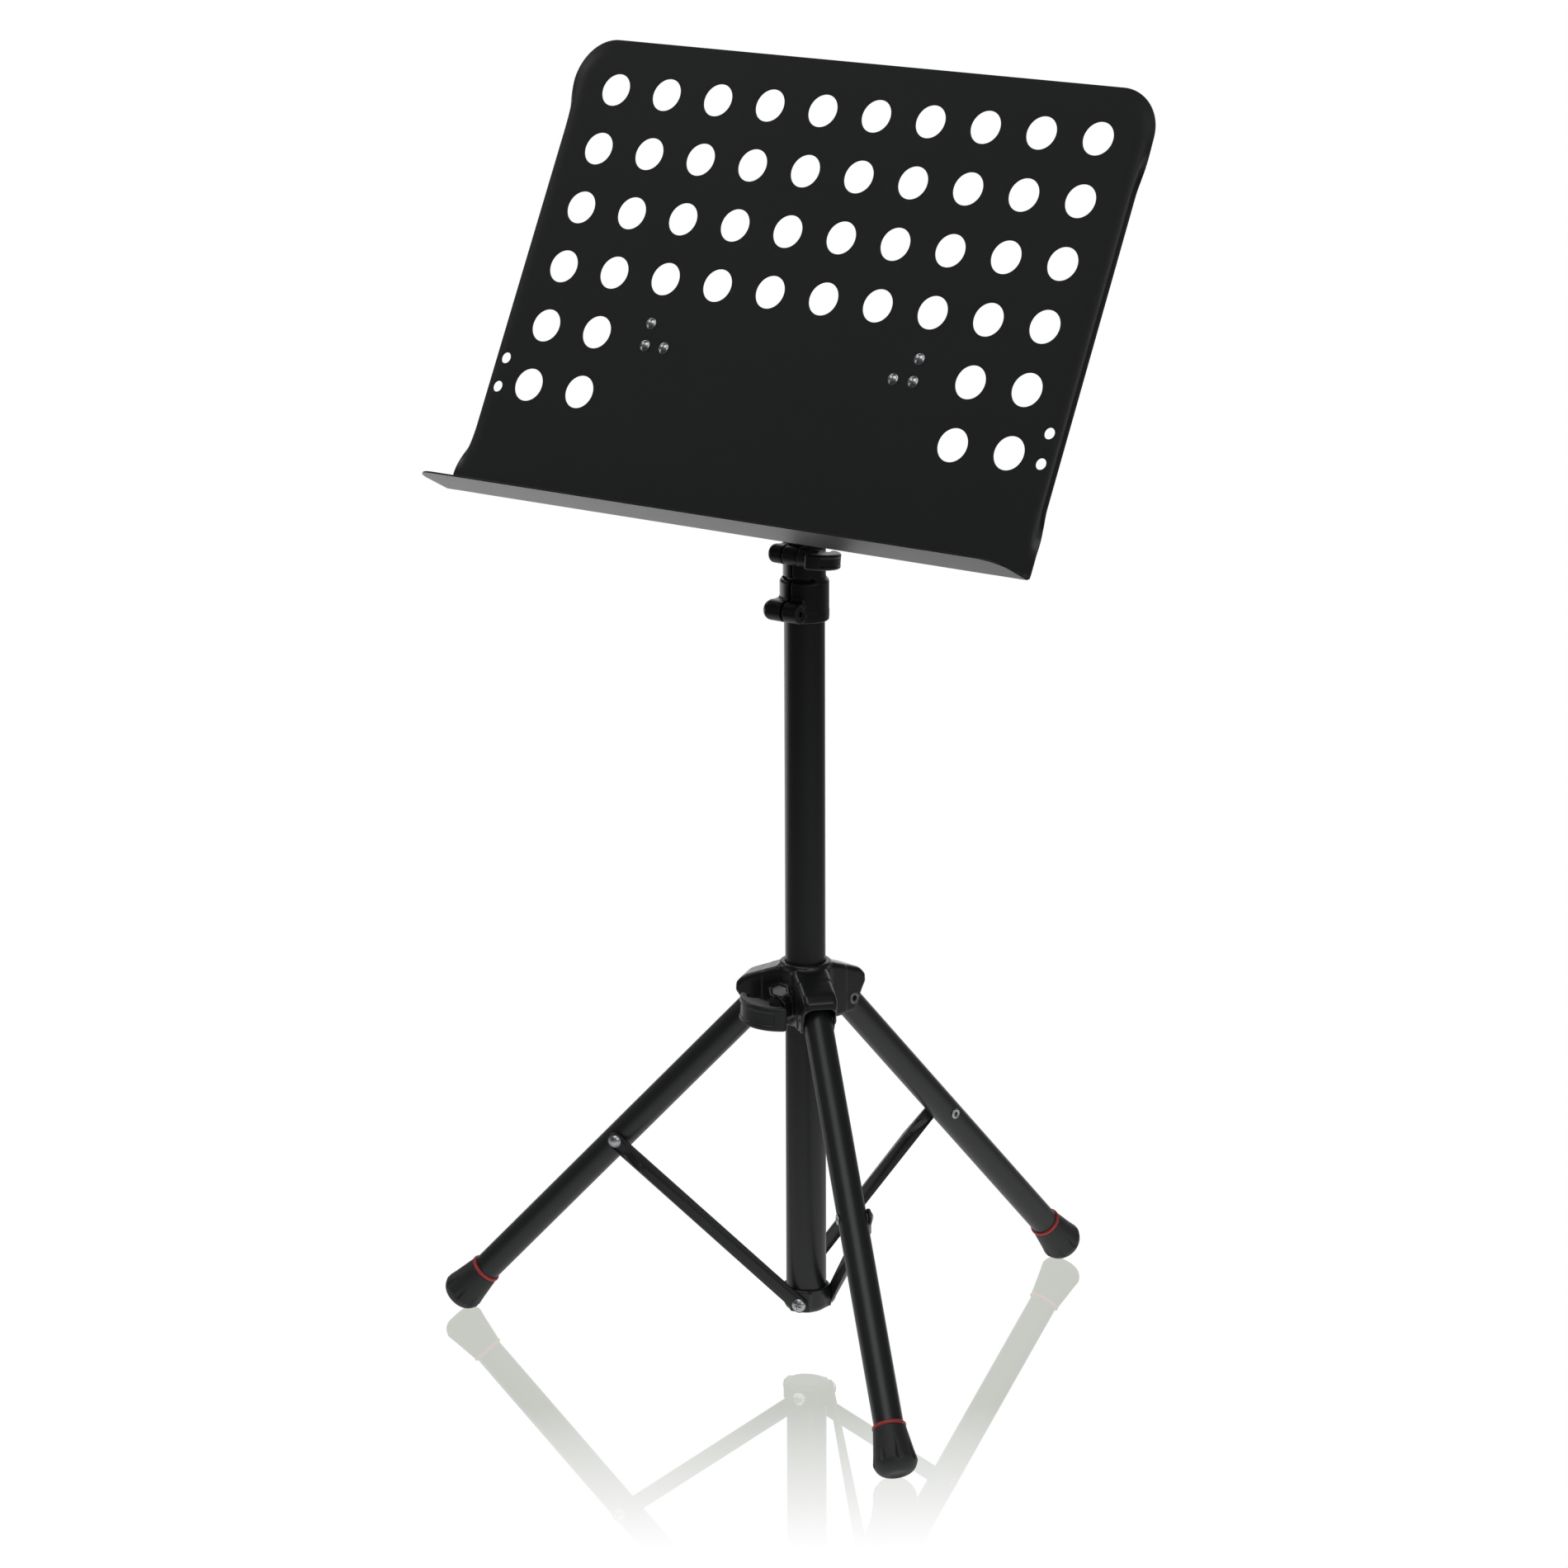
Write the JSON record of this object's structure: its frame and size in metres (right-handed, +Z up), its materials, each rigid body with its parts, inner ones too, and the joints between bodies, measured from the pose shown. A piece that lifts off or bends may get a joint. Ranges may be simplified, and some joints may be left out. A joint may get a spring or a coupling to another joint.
{
  "type": "music stand",
  "caption": "Folding tripod music stand with a perforated sheet-steel desk that tilts on a crossbar, a height-adjustable mast and a sliding leg hub.",
  "frame": {"origin": "on the floor, on the tube axis, midway between the feet of the open tripod", "axes": "+Z up along the tube axis, -Y the way the desk faces its player, +X to the right as seen facing the desk"},
  "size_m": [0.5111, 0.4565, 0.9158],
  "materials": {
    "tube_black": "satin black powder coat",
    "bracket_black": "satin black powder coat on pressed steel",
    "desk_black": "fine matt black powder coat on sheet steel",
    "moulded_black": "semi-gloss moulded nylon",
    "knob_black": "satin moulded nylon",
    "boot_rubber": "matt moulded rubber",
    "ring_red": "satin red plastic",
    "zinc_steel": "zinc-plated steel",
    "black_steel": "black oxide steel"
  },
  "bodies": {
    "column": {"outer_tube": "tube_black", "base_bracket": "bracket_black", "base_screws": "zinc_steel", "height_clamp": "moulded_black", "clamp_screw": "black_steel", "clamp_nut": "zinc_steel", "height_nut": "zinc_steel"},
    "height_knob": {"height_knob": "knob_black", "height_stud": "zinc_steel"},
    "hub": {"hub_body": "moulded_black", "hub_rivets": "zinc_steel", "hub_nut": "zinc_steel"},
    "hub_knob": {"hub_knob": "knob_black", "hub_stud": "zinc_steel"},
    "leg_1": {"leg_tube_1": "tube_black", "leg_boot_1": "boot_rubber", "leg_ring_1": "ring_red", "rivet_tail_1": "zinc_steel"},
    "leg_2": {"leg_tube_2": "tube_black", "leg_boot_2": "boot_rubber", "leg_ring_2": "ring_red", "rivet_tail_2": "zinc_steel"},
    "leg_3": {"leg_tube_3": "tube_black", "leg_boot_3": "boot_rubber", "leg_ring_3": "ring_red", "rivet_tail_3": "zinc_steel"},
    "strut_1": {"strut_1": "bracket_black", "rivet_head_1": "zinc_steel"},
    "strut_2": {"strut_2": "bracket_black", "rivet_head_2": "zinc_steel"},
    "strut_3": {"strut_3": "bracket_black", "rivet_head_3": "zinc_steel"},
    "bush": {"guide_bush": "moulded_black"},
    "mast": {"inner_tube": "tube_black", "tilt_head": "moulded_black", "head_rivet": "zinc_steel", "tilt_nut": "zinc_steel"},
    "tilt_knob": {"tilt_knob": "knob_black", "tilt_stud": "zinc_steel"},
    "desk": {"crossbar": "bracket_black", "desk_bracket_left": "bracket_black", "desk_bracket_right": "bracket_black", "desk_plate": "desk_black", "desk_rivets": "zinc_steel"}
  },
  "joints": [
    {"name": "hub_slide", "type": "slide", "parent": "column", "child": "hub", "axis": [0, 0, 1], "range_m": [0, 0.1059]},
    {"name": "leg_hinge_1", "type": "hinge", "parent": "hub", "child": "leg_1", "pos_m": [0.02737, -0.02338, 0.256], "axis": [0.6494, 0.7604, 0], "range_deg": [0, 43]},
    {"name": "leg_hinge_2", "type": "hinge", "parent": "hub", "child": "leg_2", "pos_m": [0.00656, 0.0354, 0.256], "axis": [-0.9833, 0.1822, 0], "range_deg": [0, 43]},
    {"name": "leg_hinge_3", "type": "hinge", "parent": "hub", "child": "leg_3", "pos_m": [-0.03394, -0.01202, 0.256], "axis": [0.3338, -0.9426, 0], "range_deg": [0, 43]},
    {"name": "strut_hinge_1", "type": "hinge", "parent": "column", "child": "strut_1", "pos_m": [0, 0, 0.036], "axis": [0.6494, 0.7604, 0], "range_deg": [-40.51, 0]},
    {"name": "strut_hinge_2", "type": "hinge", "parent": "column", "child": "strut_2", "pos_m": [0, 0, 0.036], "axis": [-0.9833, 0.1822, 0], "range_deg": [-40.51, 0]},
    {"name": "strut_hinge_3", "type": "hinge", "parent": "column", "child": "strut_3", "pos_m": [0, 0, 0.036], "axis": [0.3338, -0.9426, 0], "range_deg": [-40.51, 0]},
    {"name": "hub_knob_turn", "type": "hinge", "parent": "hub", "child": "hub_knob", "pos_m": [-0.00547, -0.0295, 0.2595], "axis": [-0.1822, -0.9833, 0], "continuous": true},
    {"name": "height_knob_turn", "type": "hinge", "parent": "column", "child": "height_knob", "pos_m": [0.014, -0.021, 0.5865], "axis": [1, 0, 0], "continuous": true},
    {"name": "height_slide", "type": "slide", "parent": "column", "child": "bush", "axis": [0, 0, 1], "range_m": [0, 0.36]},
    {"name": "mast_swivel", "type": "hinge", "parent": "bush", "child": "mast", "pos_m": [0, 0, 0.12], "axis": [0, 0, 1], "continuous": true},
    {"name": "desk_tilt", "type": "hinge", "parent": "mast", "child": "desk", "pos_m": [0, 0, 0.71], "axis": [1, 0, 0], "range_deg": [-62, 15]},
    {"name": "tilt_knob_turn", "type": "hinge", "parent": "mast", "child": "tilt_knob", "pos_m": [0, 0.024, 0.71], "axis": [0, 1, 0], "continuous": true}
  ],
  "couplings": [
    {"joint": "leg_hinge_1", "follows": "hub_slide", "rad_per_m": 7.0867},
    {"joint": "leg_hinge_2", "follows": "hub_slide", "rad_per_m": 7.0867},
    {"joint": "leg_hinge_3", "follows": "hub_slide", "rad_per_m": 7.0867},
    {"joint": "strut_hinge_1", "follows": "hub_slide", "rad_per_m": -6.6756},
    {"joint": "strut_hinge_2", "follows": "hub_slide", "rad_per_m": -6.6756},
    {"joint": "strut_hinge_3", "follows": "hub_slide", "rad_per_m": -6.6756}
  ]
}
